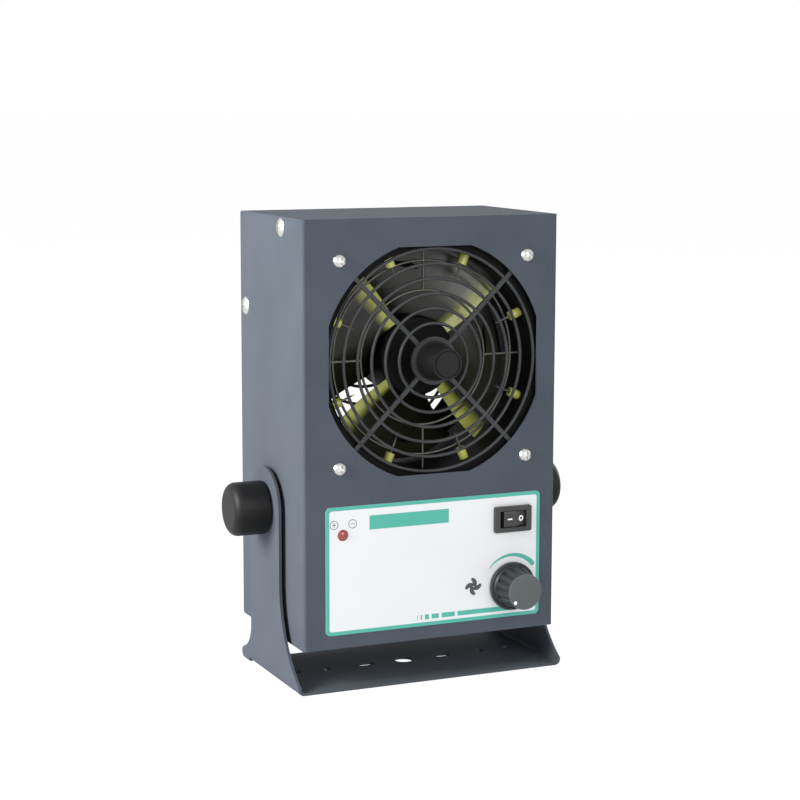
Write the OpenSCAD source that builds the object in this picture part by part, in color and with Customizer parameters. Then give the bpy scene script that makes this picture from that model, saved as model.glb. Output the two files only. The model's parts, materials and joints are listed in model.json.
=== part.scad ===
// Benchtop ionizing blower on a bent sheet-metal stand.
// Millimetres. The origin is the centre of the base's middle hole, on its underside.
// X runs to the right, Y to the back and Z up; air leaves the front, towards -Y.

/* [Head housing] */
// Width of the head
head_w = 142.5; // [140:0.5:160]
// Depth of the head
head_d = 90; // [88:0.5:110]
// Height of the head
head_h = 219; // [216:0.5:250]
// Thickness of the housing sheet
sheet = 1.2; // [1:0.1:1.6]
// Outside radius of the folded edges
fold_r = 1.8; // [1.7:0.1:3]
// Depth of the cover's inner flanges
flange = 12; // [11:0.5:13]
// Distance from the top or bottom to the nearest side screws
screw_inset = 5.5; // [5:0.5:7]
// Distance from the front to the front pair of side screws
side_screw_y = 30; // [24:1:40]
// Height of the lower back side screws, and of the upper ones below the top
side_screw_z = 50; // [40:1:60]

/* [Fan] */
// Side of the square fan frame
fan_size = 120; // [112:0.5:122]
// Depth of the fan frame
fan_t = 38; // [36:0.5:40]
// Distance from the fan's edges to its corner screws
screw_edge = 7.5; // [7:0.25:8.5]
// Thickness of the fan frame where its duct comes nearest to the edge
duct_wall = 2; // [1.5:0.25:2.5]
// Sideways place of the fan's axis
fan_x = 1.4; // [0:0.1:2]
// Distance from the top of the head down to the fan's axis
fan_drop = 73.5; // [73:0.5:80]
// Number of fan blades
blades = 4; // [3:1:6]
// Gap between the blade tips and the duct
tip_gap = 1.5; // [1:0.25:3]
// Radius of the fan's hub
hub_r = 21; // [20.5:0.25:23]
// Angle that a blade sweeps through behind its flat front land
blade_sweep = 56; // [30:1:62]
// Angle of the first blade at rest
blade_at = 40; // [0:1:90]
// Radius of the motor shaft
shaft_r = 2; // [1.5:0.25:2.25]

/* [Front opening and guard] */
// Radius of the opening's round stretches
opening_r = 62; // [61:0.5:63]
// Half height between the opening's flats
opening_h = 58.6; // [58:0.2:60]
// Thickness of the front guard's lugs
guard_t = 3; // [2.6:0.1:3.6]
// Width of the guard's rings and spokes
guard_wire = 1.7; // [1.4:0.1:2]
// Number of guard rings
guard_rings = 6; // [4:1:6]
// Radius of the outer ring
guard_r = 57.4; // [56:0.2:57.8]
// Distance between rings
guard_gap = 7.65; // [6:0.05:7.8]
// Radius of the guard's hub
guard_hub_r = 12.4; // [11.5:0.1:14]

/* [Ionizer] */
// Depth of the emitter ring
ring_t = 14; // [13:0.5:16]
// Number of emitter needles
needles = 8; // [4:1:12]
// Radius of a needle
needle_r = 0.6; // [0.4:0.05:0.8]
// Radius that the needle tips reach inwards to
tip_r = 43; // [41:0.5:46]
// Length of a needle's insulating holder
holder_len = 6; // [5:0.5:7]
// Radius of the inner reference electrode
electrode_r = 35; // [30:0.5:38]
// Radius of the electrode's wire
electrode_wire = 0.7; // [0.5:0.05:1]
// Radius of the cleaning knob at its face
brush_knob_r = 8; // [7:0.25:10]
// Length of the cleaning knob in front of the panel
brush_knob_len = 15; // [12:0.5:18]
// Angle of the cleaning arm at rest
brush_at = 315; // [0:1:359]

/* [Front controls] */
// Width of the control label
label_w = 121.8; // [118:0.1:124]
// Height of the control label
label_h = 66.5; // [65:0.1:68]
// Thickness of the label
label_t = 0.3; // [0.2:0.05:0.5]
// Sideways place of the label's middle
label_x = 1.7; // [0:0.1:2]
// Height of the label's middle above the head's underside
label_z = 40.35; // [39:0.05:42]
// Distance from the label's right edge to the middle of the switch and the speed knob
control_in = 16.4; // [15:0.1:18]
// Distance from the label's top edge down to the middle of the switch
switch_drop = 13.75; // [12:0.05:16]
// Width of the switch bezel
switch_w = 21.3; // [20.5:0.1:22]
// Height of the switch bezel
switch_h = 13.7; // [13.4:0.1:15]
// Travel of the rocker in degrees
rocker_travel = 16; // [10:1:18]
// Distance from the label's bottom edge up to the middle of the speed knob
speed_rise = 16.7; // [15:0.1:20]
// Radius of the speed knob's skirt
speed_skirt_r = 12.8; // [12:0.1:13.5]
// Radius of the speed knob's face
speed_face_r = 9.4; // [8.5:0.1:10]
// Length of the speed knob
speed_len = 16; // [13:0.5:18]
// Number of flutes round the speed knob
flutes = 14; // [10:1:18]
// Distance from the label's left edge to the indicator lamp
lamp_in = 9.4; // [7:0.1:16]
// Distance from the label's top edge down to the indicator lamp
lamp_drop = 14.7; // [12:0.1:18]
// Radius of the lamp
lamp_r = 2.9; // [2.5:0.1:3.2]

/* [Stand] */
// Width over the arms
stand_w = 150; // [149.5:0.5:170]
// Thickness of the stand's sheet
stand_t = 1.5; // [1.2:0.1:2]
// Width of an arm from front to back
arm_w = 43; // [38:0.5:50]
// Height of the tilt axis above the table
pivot_z = 89; // [87:0.5:110]
// Place of the tilt axis behind the base's middle hole
pivot_y = 11; // [5:0.5:15]
// Distance from the head's front to the tilt axis
pivot_from_front = 46.5; // [44:0.5:50]
// Distance from the head's underside up to the tilt axis
pivot_from_bottom = 67; // [60:0.5:68]
// Distance from the middle hole to the base's front edge
base_front = 38; // [36:0.5:44]
// Distance from the middle hole to the base's back edge
base_back = 34.5; // [32:0.5:40]
// Distance from the middle hole to the back of the arms' feet
foot_back = 47; // [44:0.5:52]
// Radius of the arms' front sweep
front_sweep = 57; // [50:1:70]
// Radius of the arms' back sweep
back_sweep = 15; // [14.6:0.2:20]
// Height of a foot's front end
front_nose = 4; // [3.5:0.5:6]
// Height of a foot's back end
back_nose = 6; // [4:0.5:8]
// Inside radius of the stand's bends
bend_r = 1.5; // [1:0.1:2.5]
// Radius of the base's middle hole
middle_hole_r = 5.25; // [4:0.25:6]
// Length of the base's slots
slot_len = 10.5; // [8:0.5:14]
// Radius of the slots' ends and of the inner holes
fixing_r = 2.75; // [2:0.05:3]
// Radius of the outer holes
outer_hole_r = 2.5; // [2:0.05:3]
// Place of the slots on both sides of the middle hole
slot_x = 22.5; // [18:0.5:26]
// Place of the inner holes
inner_hole_x = 45; // [40:0.5:50]
// Place of the outer holes
outer_hole_x = 62; // [56:0.5:64]

/* [Clamp knobs] */
// Radius of a clamp knob
clamp_r = 14; // [12:0.25:18]
// Length of a clamp knob
clamp_len = 18.3; // [16:0.1:24]
// Radius of the knob's rounded shoulder
clamp_round = 4.5; // [2:0.25:5]
// Radius of the clamp stud
stud_r = 3; // [2.5:0.25:4]
// Thickness of the steel washer under a knob
washer_t = 1.5; // [1:0.1:2]
// Radius of the steel washer
washer_r = 10; // [8:0.25:12]
// Radius of the friction washer between head and arm
friction_r = 10; // [8:0.25:12]

/* [Back panel] */
// How far the back panel reaches in over the fan's duct
back_lip = 0.5; // [0:0.25:2]
// Radius of the back guard's wire
back_wire = 0.9; // [0.7:0.05:1.1]
// Number of rings in the back guard
back_rings = 5; // [3:1:6]
// Sideways place of the mains inlet
inlet_x = -34; // [-38:0.5:-30]
// Height of the mains inlet above the head's underside
inlet_z = 30; // [27:0.5:36]
// Sideways place of the ground terminal
ground_x = 42; // [36:0.5:48]
// Height of the ground terminal above the head's underside
ground_z = 30; // [26:0.5:36]

/* [Electronics] */
// Width of the circuit board
board_w = 66; // [60:1:70]
// Depth of the circuit board
board_d = 36; // [34:1:38]
// Height of the board's standoffs
standoff = 7; // [5:0.5:10]
// Width of the high-voltage module
module_w = 38; // [34:0.5:40]
// Depth of the high-voltage module
module_d = 44; // [38:0.5:46]
// Height of the high-voltage module
module_h = 28; // [22:0.5:34]
// Radius of the high-voltage lead
lead_r = 1.6; // [1.2:0.1:2]

/* [Fits] */
// Gap between pieces that are fixed to each other
fit = 0.05; // [0.04:0.01:0.1]
// Radial gap of shafts that turn in their holes
run = 0.04; // [0.02:0.01:0.08]
// Gap between faces that move past each other
clear = 0.3; // [0.25:0.05:0.4]

/* [Hidden] */
$fn = 96;

head_y = pivot_y - pivot_from_front;
head_z = pivot_z - pivot_from_bottom;
head_side = head_w / 2;
arm_out = stand_w / 2;
arm_in = arm_out - stand_t;
fan_z = head_h - fan_drop;
fan_pitch = fan_size - 2 * screw_edge;
corner = fan_pitch / 2;
duct_r = fan_size / 2 - duct_wall;
blade_r = duct_r - tip_gap;
back_opening_r = duct_r - back_lip;
label_top = label_z + label_h / 2;
label_right = label_x + label_w / 2;
switch_x = label_right - control_in;
switch_z = label_top - switch_drop;
speed_x = switch_x;
speed_z = label_z - label_h / 2 + speed_rise;
lamp_x = label_x - label_w / 2 + lamp_in;
lamp_z = label_top - lamp_drop;
guard_y = sheet;
ring_y = guard_y + guard_t;
fan_y = ring_y + ring_t;
fan_back = fan_y + fan_t;
fan_lip = 5;
front_m4 = 2;
m4_nut_r = 4;
m4_nut_t = 3.2;
screw_head_r = 3.7;
screw_head_t = 2.4;
side_head_r = 4.7;
side_head_t = 1.9;
clinch_t = 3;
clinch_r = 3.6;
flange_x = head_side - 2 * sheet - fit;

cup_y = fan_y + 3;
cup_back = fan_back - 5.5;
cup_wall = 1.5;
magnet_t = 2.4;
magnet_len = 16;
air_gap = 0.6;
stator_r = hub_r - cup_wall - fit - magnet_t - air_gap;
boss_len = 6;
tube_y = cup_y + cup_wall + boss_len + 1.5;
tube_r = shaft_r + 4;
bearing_r = shaft_r + 2;
bearing_len = 5;
mount_t = 3;
stator_y = tube_y + 3;
stator_len = 12;

blade_s = 6;
blade_c = 12;
blade_t = 1.5;
blade_land = 6.5;
land_share = 0.25;
land_drop = 2.2;
blade_root = hub_r - 0.8;
blade_front = cup_y + 1;
blade_depth = cup_back - cup_y - 5;

brush_shaft_r = 2;
brush_y = ring_y + 0.8;
brush_t = 2.4;
needle_y = ring_y + 7;
bristle_end = needle_y - needle_r - clear;
electrode_y = ring_y + 11;

panel_front = -label_t;
pot_r = 8;
pot_len = 9;
bushing_r = 3.5;
bushing_out = 4.5;
knob_pocket = 3;
knob_pocket_r = m4_nut_r + 2.4;
pot_shaft_r = 3;
knob_gap = 0.6;
speed_back = panel_front - knob_gap;
pot_nut_t = 2;
rocker_frame = 3;
rocker_w = switch_w - 2 * rocker_frame;
rocker_h = 9;
rocker_end = 0.75;
rocker_pivot = 3;
bezel_t = 2;

knob_x = arm_out + washer_t;
insert_len = 9;
insert_flange = 1.5;
stud_in = head_side - sheet - insert_len + 1;

inlet_w = 27;
inlet_h = 19.5;
inlet_pitch = 40;
inlet_depth = 22;
board_x = -flange_x + clinch_t + clear + board_w / 2;
board_y = head_d - sheet - inlet_depth - board_d / 2 - 1.5;
board_z = sheet + standoff;
board_t = 1.6;
board_edge = 4;
core_x = -20;
core_w = 14;
core_d = 17;
core_h = 16;
core_foot = 3;
coil_flange = 1.5;
capacitor_r = 4.8;
capacitor_h = 15;
capacitor_pitch = 12;
capacitor_y = 8;
// Heat sink, terminal block and chip: place on the board, then width, depth and height.
board_blocks = [[13, -10, 12, 3, 18], [-12, -15, 24, 6, 9], [16, 0, 8, 6, 2.5]];
module_x = head_side - 2 * sheet - module_w / 2 - 4;
module_y = head_d - sheet - module_d / 2 - 8;

// ---- shared shapes ----

// A centred rectangle with true round corners.
module soft_rect(w, h, r) {
    square([w - 2 * r, h], center = true);
    square([w, h - 2 * r], center = true);
    for (sx = [-1, 1], sy = [-1, 1])
        translate([sx * (w / 2 - r), sy * (h / 2 - r)]) circle(r);
}

// Places a piece that is drawn from the head's lower front edge.
module in_head() {
    translate([0, head_y, head_z]) children();
}

// Places a piece that is drawn round the fan's axis.
module on_fan() {
    in_head() translate([fan_x, 0, fan_z]) children();
}

// Stands a drawing of X and Z up and carries it back from y by len.
module along_y(y, len) {
    translate([0, y + len, 0]) rotate([90, 0, 0]) linear_extrude(len) children();
}

// Carries a drawing of Y and Z sideways from x by len.
module along_x(x, len) {
    translate([x, 0, 0]) rotate([90, 0, 90]) linear_extrude(len) children();
}

// A round bar along Y.
module rod_y(x, y, z, len, r) {
    translate([x, y, z]) rotate([-90, 0, 0]) cylinder(h = len, r = r);
}

// A round bar along X.
module rod_x(x, y, z, len, r) {
    translate([x, y, z]) rotate([0, 90, 0]) cylinder(h = len, r = r);
}

// Repeats a piece at the fan's four corner screws.
module at_corners() {
    for (sx = [-1, 1], sz = [-1, 1])
        translate([sx * corner, 0, sz * corner]) children();
}

// A domed cross-recess screw head that stands on the plane z = 0.
module cross_head(r, t) {
    dome = (r * r + t * t) / (2 * t);
    difference() {
        intersection() {
            cylinder(h = t, r = r);
            translate([0, 0, t - dome]) sphere(dome);
        }
        for (a = [0, 90])
            rotate([0, 0, a]) translate([-r * 0.55, -0.5, t * 0.45]) cube([r * 1.1, 1, t]);
    }
}

// A hexagonal nut with a round bore, along z.
module hex_nut(r, t, bore) {
    difference() {
        cylinder(h = t, r = r, $fn = 6);
        translate([0, 0, -1]) cylinder(h = t + 2, r = bore);
    }
}

// A hinged side: mirrors its children for the left.
module on_side(side) {
    if (side < 0) mirror([1, 0, 0]) children();
    else children();
}

// ---- stand ----

// Outline of one arm in Y and Z, with its two swept feet.
module arm_outline() {
    half = arm_w / 2;
    front = pivot_y - half;
    back = pivot_y + half;
    front_reach = base_front + front;
    back_reach = foot_back - back;
    front_top = front_nose + sqrt(pow(front_sweep, 2) - pow(front_sweep - front_reach, 2));
    back_top = back_nose + sqrt(pow(back_sweep, 2) - pow(back_sweep - back_reach, 2));
    tip = back_nose / 2;
    translate([pivot_y, pivot_z]) circle(half);
    translate([front, 0]) square([arm_w, pivot_z]);
    difference() {
        translate([-base_front, 0]) square([front_reach + 1, front_top]);
        translate([front - front_sweep, front_top]) circle(front_sweep, $fn = 180);
    }
    difference() {
        translate([back - 1, 0]) square([back_reach + 1 - tip, back_top]);
        translate([back + back_sweep, back_top]) circle(back_sweep);
    }
    translate([foot_back - tip, tip]) circle(tip);
}

// Arms, base and the bends that join them, folded from one sheet.
module stand_bracket() {
    outer = bend_r + stand_t;
    flat = arm_out - outer;
    base_d = base_front + base_back;
    color("dimgray") difference() {
        union() {
            for (side = [-1, 1]) on_side(side) {
                along_x(arm_in, stand_t) difference() {
                    arm_outline();
                    translate([-base_front - 1, -1]) square([base_d + 1, outer + 1]);
                }
                intersection() {
                    translate([flat, -base_front, outer]) rotate([-90, 0, 0]) difference() {
                        cylinder(h = base_d, r = outer);
                        translate([0, 0, -1]) cylinder(h = base_d + 2, r = bend_r);
                    }
                    translate([flat, -base_front, 0]) cube([outer, base_d, outer]);
                }
            }
            translate([-flat, -base_front, 0]) cube([2 * flat, base_d, stand_t]);
        }
        rod_x(-arm_out - 1, pivot_y, pivot_z, stand_w + 2, stud_r + run);
        translate([0, 0, -1]) cylinder(h = stand_t + 2, r = middle_hole_r);
        for (side = [-1, 1]) {
            translate([side * slot_x, 0, -1]) linear_extrude(stand_t + 2) {
                square([slot_len - 2 * fixing_r, 2 * fixing_r], center = true);
                for (end = [-1, 1])
                    translate([end * (slot_len / 2 - fixing_r), 0]) circle(fixing_r);
            }
            translate([side * inner_hole_x, 0, -1]) cylinder(h = stand_t + 2, r = fixing_r);
            translate([side * outer_hole_x, 0, -1]) cylinder(h = stand_t + 2, r = outer_hole_r);
        }
    }
}

// ---- clamp knobs, studs and washers; each is drawn for the right side ----

module clamp_knob(side) {
    in_r = clamp_r - clamp_round;
    on_side(side) translate([knob_x, pivot_y, pivot_z]) rotate([0, 90, 0]) difference() {
        rotate_extrude() {
            square([clamp_r, clamp_len - clamp_round]);
            square([in_r, clamp_len]);
            intersection() {
                translate([in_r, clamp_len - clamp_round]) circle(clamp_round);
                translate([0, clamp_len - clamp_round]) square([clamp_r, clamp_round]);
            }
        }
        translate([0, 0, -1]) cylinder(h = clamp_len - 3, r = stud_r + fit);
    }
}

module clamp_stud(side) {
    on_side(side) rod_x(stud_in, pivot_y, pivot_z, knob_x + clamp_len - 4.1 - stud_in, stud_r);
}

module clamp_washer(side) {
    on_side(side) difference() {
        rod_x(arm_out, pivot_y, pivot_z, washer_t, washer_r);
        rod_x(arm_out - 1, pivot_y, pivot_z, washer_t + 2, stud_r + run);
    }
}

module clamp_knob_left() { color("black") clamp_knob(-1); }
module clamp_knob_right() { color("black") clamp_knob(1); }
module stud_left() { color("silver") clamp_stud(-1); }
module stud_right() { color("silver") clamp_stud(1); }
module washer_left() { color("silver") clamp_washer(-1); }
module washer_right() { color("silver") clamp_washer(1); }

// Soft washers that hold the head between the arms.
module friction_washers() {
    color("dimgray") for (side = [-1, 1]) on_side(side) difference() {
        rod_x(head_side, pivot_y, pivot_z, arm_in - fit - head_side, friction_r);
        rod_x(head_side - 1, pivot_y, pivot_z, arm_in - head_side + 2, stud_r + run);
    }
}

// Threaded inserts that the studs screw into, pressed into the housing's sides.
module pivot_inserts() {
    color("gold") for (side = [-1, 1]) on_side(side) difference() {
        union() {
            rod_x(head_side - sheet - insert_len, pivot_y, pivot_z, insert_len, stud_r + 3.5);
            rod_x(head_side - sheet - insert_flange, pivot_y, pivot_z, insert_flange, stud_r + 6);
            rod_x(head_side - sheet - fit, pivot_y, pivot_z, sheet + fit, stud_r + 1.5);
        }
        rod_x(head_side - sheet - insert_len - 1, pivot_y, pivot_z, insert_len + sheet + 2,
            stud_r + run);
    }
}

// ---- housing ----

// Plan of the folded front and sides, cut off at a depth.
module shell_plan(depth) {
    intersection() {
        difference() {
            translate([0, head_d]) soft_rect(head_w, 2 * head_d, fold_r);
            translate([0, head_d]) soft_rect(head_w - 2 * sheet, 2 * (head_d - sheet), fold_r - sheet);
        }
        translate([-head_w, -1]) square([2 * head_w, depth + 1]);
    }
}

// The air opening: a circle cut by four flats.
module opening_plan(extra = 0) {
    intersection() {
        circle(opening_r + extra);
        square(2 * (opening_h + extra), center = true);
    }
}

module side_screw_places() {
    back = head_d - sheet - flange / 2;
    for (place = [[side_screw_y, head_h - screw_inset], [side_screw_y, screw_inset],
                  [back, head_h - side_screw_z], [back, side_screw_z]])
        translate([0, place[0], place[1]]) children();
}

// Front panel and both sides, folded from one sheet.
module front_shell() {
    color("slategray") in_head() difference() {
        union() {
            translate([0, 0, sheet + fit]) linear_extrude(head_h - 2 * (sheet + fit))
                shell_plan(head_d - sheet - fit);
            linear_extrude(head_h) shell_plan(sheet);
        }
        along_y(-1, sheet + 2) translate([fan_x, fan_z]) opening_plan();
        translate([fan_x, 0, fan_z]) at_corners() rod_y(0, -1, 0, sheet + 2, front_m4 + 0.15);
        along_y(-1, sheet + 2) translate([switch_x, switch_z])
            square([switch_w - 2, switch_h - 1.2], center = true);
        rod_y(speed_x, -1, speed_z, sheet + 2, bushing_r + fit);
        rod_y(lamp_x, -1, lamp_z, sheet + 2, lamp_r + fit);
        for (side = [-1, 1]) on_side(side) {
            translate([0, -head_y, -head_z])
                rod_x(head_side - sheet - 1, pivot_y, pivot_z, sheet + 2, stud_r + 1.5 + fit);
            side_screw_places() rod_x(head_side - sheet - 1, 0, 0, sheet + 2, front_m4 + 0.15);
        }
    }
}

// Top, back and bottom with the flanges that the side screws hold.
module wrap_cover() {
    front = sheet + fit;
    color("slategray") in_head() difference() {
        union() {
            along_x(-head_side, head_w) intersection() {
                difference() {
                    translate([0, head_h / 2]) soft_rect(2 * head_d, head_h, fold_r);
                    translate([0, head_h / 2])
                        soft_rect(2 * (head_d - sheet), head_h - 2 * sheet, fold_r - sheet);
                }
                translate([front, -1]) square([head_d, head_h + 2]);
            }
            for (side = [-1, 1]) on_side(side) along_x(flange_x, sheet) difference() {
                translate([6, sheet / 2]) square([head_d - sheet / 2 - 6, head_h - sheet]);
                translate([-1, sheet + flange])
                    square([head_d - sheet - flange + 1, head_h - 2 * (sheet + flange)]);
            }
        }
        rod_y(fan_x, head_d - sheet - 1, fan_z, sheet + 2, back_opening_r);
        translate([fan_x, head_d - sheet - 1, fan_z]) at_corners()
            rod_y(0, 0, 0, sheet + 2, front_m4 + 0.15);
        along_y(head_d - sheet - 1, sheet + 2) translate([inlet_x, inlet_z])
            square([inlet_w + 2 * fit, inlet_h + 2 * fit], center = true);
        for (side = [-1, 1])
            rod_y(inlet_x + side * inlet_pitch / 2, head_d - sheet - 1, inlet_z, sheet + 2, 1.65);
        rod_y(ground_x, head_d - sheet - 1, ground_z, sheet + 2, front_m4 + fit);
        for (side = [-1, 1]) on_side(side)
            side_screw_places() rod_x(flange_x - 1, 0, 0, sheet + 2, front_m4 + 0.15);
        for (place = board_holes()) translate([place[0], place[1], -1])
            cylinder(h = sheet + 2, r = 1.65);
        for (side = [-1, 1]) translate([module_x, module_y + side * (module_d / 2 + 3.5), -1])
            cylinder(h = sheet + 2, r = 1.65);
    }
}

// Self-clinching nuts behind the flanges, for the side screws.
module clinch_nuts() {
    color("silver") in_head() for (side = [-1, 1]) on_side(side) side_screw_places() difference() {
        rod_x(flange_x - clinch_t, 0, 0, clinch_t, clinch_r);
        rod_x(flange_x - clinch_t - 1, 0, 0, clinch_t + 2, front_m4 + fit);
    }
}

// Domed screws in the housing's sides.
module side_screws() {
    shank = clinch_t + 2 * sheet + fit;
    color("silver") in_head() for (side = [-1, 1]) on_side(side) side_screw_places() {
        translate([head_side, 0, 0]) rotate([0, 90, 0]) cross_head(side_head_r, side_head_t);
        rod_x(head_side - shank, 0, 0, shank, front_m4);
    }
}

// ---- front guard and cleaning brush ----

module front_guard() {
    wire = guard_wire / 2;
    mid = guard_y + wire + 0.1;
    color("black") on_fan() difference() {
        union() {
            for (i = [0 : guard_rings - 1])
                translate([0, mid, 0]) rotate([90, 0, 0]) rotate_extrude()
                    translate([guard_r - i * guard_gap, 0]) circle(wire, $fn = 24);
            for (a = [45 : 90 : 315]) rotate([0, -a, 0])
                translate([guard_hub_r - 1, guard_y + 0.4, -1.1])
                    cube([corner * sqrt(2) - guard_hub_r, guard_wire, 2.2]);
            at_corners() rod_y(0, guard_y, 0, guard_t, 5);
            rod_y(0, guard_y - 0.6, 0, guard_t - 0.4, guard_hub_r);
        }
        at_corners() rod_y(0, guard_y - 1, 0, guard_t + 2, front_m4 + 0.15);
        rod_y(0, guard_y - 2, 0, guard_t + 2, brush_shaft_r + run);
    }
}

// Round knob in the middle of the guard that turns the cleaning brush.
module brush_knob() {
    back = guard_y - 0.6 - clear;
    color("black") on_fan() difference() {
        union() {
            translate([0, -brush_knob_len, 0]) rotate([-90, 0, 0])
                cylinder(h = brush_knob_len + back - 2, r1 = brush_knob_r, r2 = brush_knob_r + 1.4);
            rod_y(0, back - 2, 0, 2, brush_knob_r + 2.2);
        }
        rod_y(0, 4 - brush_knob_len, 0, brush_knob_len + 2, brush_shaft_r + fit);
        difference() {
            rod_y(0, -brush_knob_len - 1, 0, 1.6, brush_knob_r - 1);
            rod_y(0, -brush_knob_len - 2, 0, 3, brush_knob_r - 1.6);
        }
    }
}

module brush_shaft() {
    color("silver") on_fan()
        rod_y(0, 4.1 - brush_knob_len, 0, brush_y + brush_t + 1 - 4.1 + brush_knob_len, brush_shaft_r);
}

// Arm that carries the bristles past the needle tips, behind the guard.
module brush_arm() {
    color("black") on_fan() rotate([0, -brush_at, 0]) difference() {
        union() {
            rod_y(0, brush_y, 0, brush_t, 5);
            translate([0, brush_y, -2]) cube([tip_r + 6, brush_t, 4]);
        }
        rod_y(0, brush_y - 1, 0, brush_t + 2, brush_shaft_r + fit);
    }
}

module brush_bristles() {
    tufts = 5;
    color("khaki") on_fan() rotate([0, -brush_at, 0]) for (i = [0 : tufts - 1])
        rod_y(tip_r - 5 + i * 2.4, brush_y + brush_t, 0, bristle_end - brush_y - brush_t, 1);
}

// ---- ionizer ----

// Insulating ring behind the guard that carries the needles.
module emitter_ring() {
    color("black") on_fan() difference() {
        along_y(ring_y, ring_t) soft_rect(fan_size, fan_size, 6);
        rod_y(0, ring_y - 1, 0, ring_t + 2, duct_r);
        at_corners() rod_y(0, ring_y - 1, 0, ring_t + 2, front_m4 + 0.15);
        for (i = [0 : needles - 1]) rotate([0, -needle_angle(i), 0])
            rod_x(duct_r - 1, needle_y, 0, 3, needle_r + fit);
        for (i = [0 : 3]) rotate([0, -90 * i, 0])
            rod_x(duct_r - 1, electrode_y, 0, 1.8, electrode_wire + fit);
    }
}

function needle_angle(i) = 360 / needles * (i + 0.5);

// Short insulating sleeves on the ring's inner wall, one for each needle.
module needle_holders() {
    color("olive") on_fan() for (i = [0 : needles - 1]) rotate([0, -needle_angle(i), 0])
        difference() {
            intersection() {
                rod_x(duct_r - holder_len, needle_y, 0, holder_len + 1, needle_r + 1.8);
                rod_y(0, ring_y, 0, ring_t, duct_r - fit);
            }
            rod_x(duct_r - holder_len - 1, needle_y, 0, holder_len + 3, needle_r + fit);
        }
}

module emitter_needles() {
    point = 4;
    color("silver") on_fan() for (i = [0 : needles - 1]) rotate([0, -needle_angle(i), 0]) {
        rod_x(tip_r + point, needle_y, 0, duct_r + 1.8 - tip_r - point, needle_r);
        translate([tip_r, needle_y, 0]) rotate([0, 90, 0])
            cylinder(h = point, r1 = 0.08, r2 = needle_r, $fn = 24);
    }
}

// Two wire hoops on four straight wires, behind the needles.
module reference_electrode() {
    color("silver") on_fan() {
        for (r = [electrode_r, (electrode_r + duct_r) / 2 + 4])
            translate([0, electrode_y, 0]) rotate([90, 0, 0]) rotate_extrude()
                translate([r, 0]) circle(electrode_wire, $fn = 24);
        for (i = [0 : 3]) rotate([0, -90 * i, 0])
            rod_x(electrode_r, electrode_y, 0, duct_r + 0.6 - electrode_r, electrode_wire);
    }
}

// ---- fan ----

module fan_frame() {
    struts = 4;
    tube_len = fan_back - tube_y;
    color("black") on_fan() difference() {
        union() {
            difference() {
                union() {
                    along_y(fan_y, fan_lip) soft_rect(fan_size, fan_size, 6);
                    along_y(fan_back - fan_lip, fan_lip) soft_rect(fan_size, fan_size, 6);
                    intersection() {
                        rod_y(0, fan_y, 0, fan_t, duct_r + 3);
                        along_y(fan_y, fan_t) square(fan_size, center = true);
                    }
                }
                rod_y(0, fan_y - 1, 0, fan_t + 2, duct_r);
            }
            rod_y(0, fan_back - mount_t, 0, mount_t, hub_r);
            rod_y(0, tube_y, 0, tube_len, tube_r);
            for (i = [0 : struts - 1]) rotate([0, -360 / struts * i - 20, 0])
                translate([hub_r - 2, fan_back - mount_t, -2]) cube([duct_r + 1.5 - hub_r + 1, mount_t, 4]);
        }
        at_corners() rod_y(0, fan_y - 1, 0, fan_t + 2, front_m4 + 0.15);
        rod_y(0, tube_y - 1, 0, tube_len - mount_t + 1, bearing_r + fit);
    }
}

// Two bearings in the mount's tube.
module fan_bearings() {
    last = fan_back - mount_t - bearing_len;
    color("silver") on_fan() for (y = [tube_y, last]) difference() {
        rod_y(0, y, 0, bearing_len, bearing_r);
        rod_y(0, y - 1, 0, bearing_len + 2, shaft_r + run);
    }
}

// Slotted iron core with its windings, fixed on the bearing tube.
module fan_stator() {
    color("darkgoldenrod") on_fan() difference() {
        rod_y(0, stator_y, 0, stator_len, stator_r);
        rod_y(0, stator_y - 1, 0, stator_len + 2, tube_r + fit);
        for (a = [0 : 90 : 270]) rotate([0, -a, 0])
            translate([tube_r + 3, stator_y - 1, -1.2]) cube([stator_r, stator_len + 2, 2.4]);
    }
}

module rotor_magnet() {
    outer = hub_r - cup_wall - fit;
    color("dimgray") on_fan() difference() {
        rod_y(0, cup_back - magnet_len, 0, magnet_len, outer);
        rod_y(0, cup_back - magnet_len - 1, 0, magnet_len + 2, outer - magnet_t);
    }
}

module fan_shaft() {
    first = cup_y + 1;
    color("silver") on_fan() rod_y(0, first, 0, fan_back - mount_t - 0.5 - first, shaft_r);
}

// A blade is a curved sheet: s runs from hub to tip and c from its front edge to its back.
function past_land(c) = max(c - land_share, 0) / (1 - land_share);
function blade_drop(c) = land_drop * min(c / land_share, 1)
    + (blade_depth - land_drop) * pow(past_land(c), 0.9);
function blade_point(s, c, off) = let (
    r = blade_root + (blade_r - blade_root) * s,
    land = blade_land * (min(c / land_share, 1) - 0.5) * (0.75 + 0.25 * s),
    a = land / r * 180 / PI + blade_sweep * past_land(c) - 8 * s * (1 - s))
    [r * cos(a), blade_front + blade_drop(c) + off, r * sin(a)];

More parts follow.
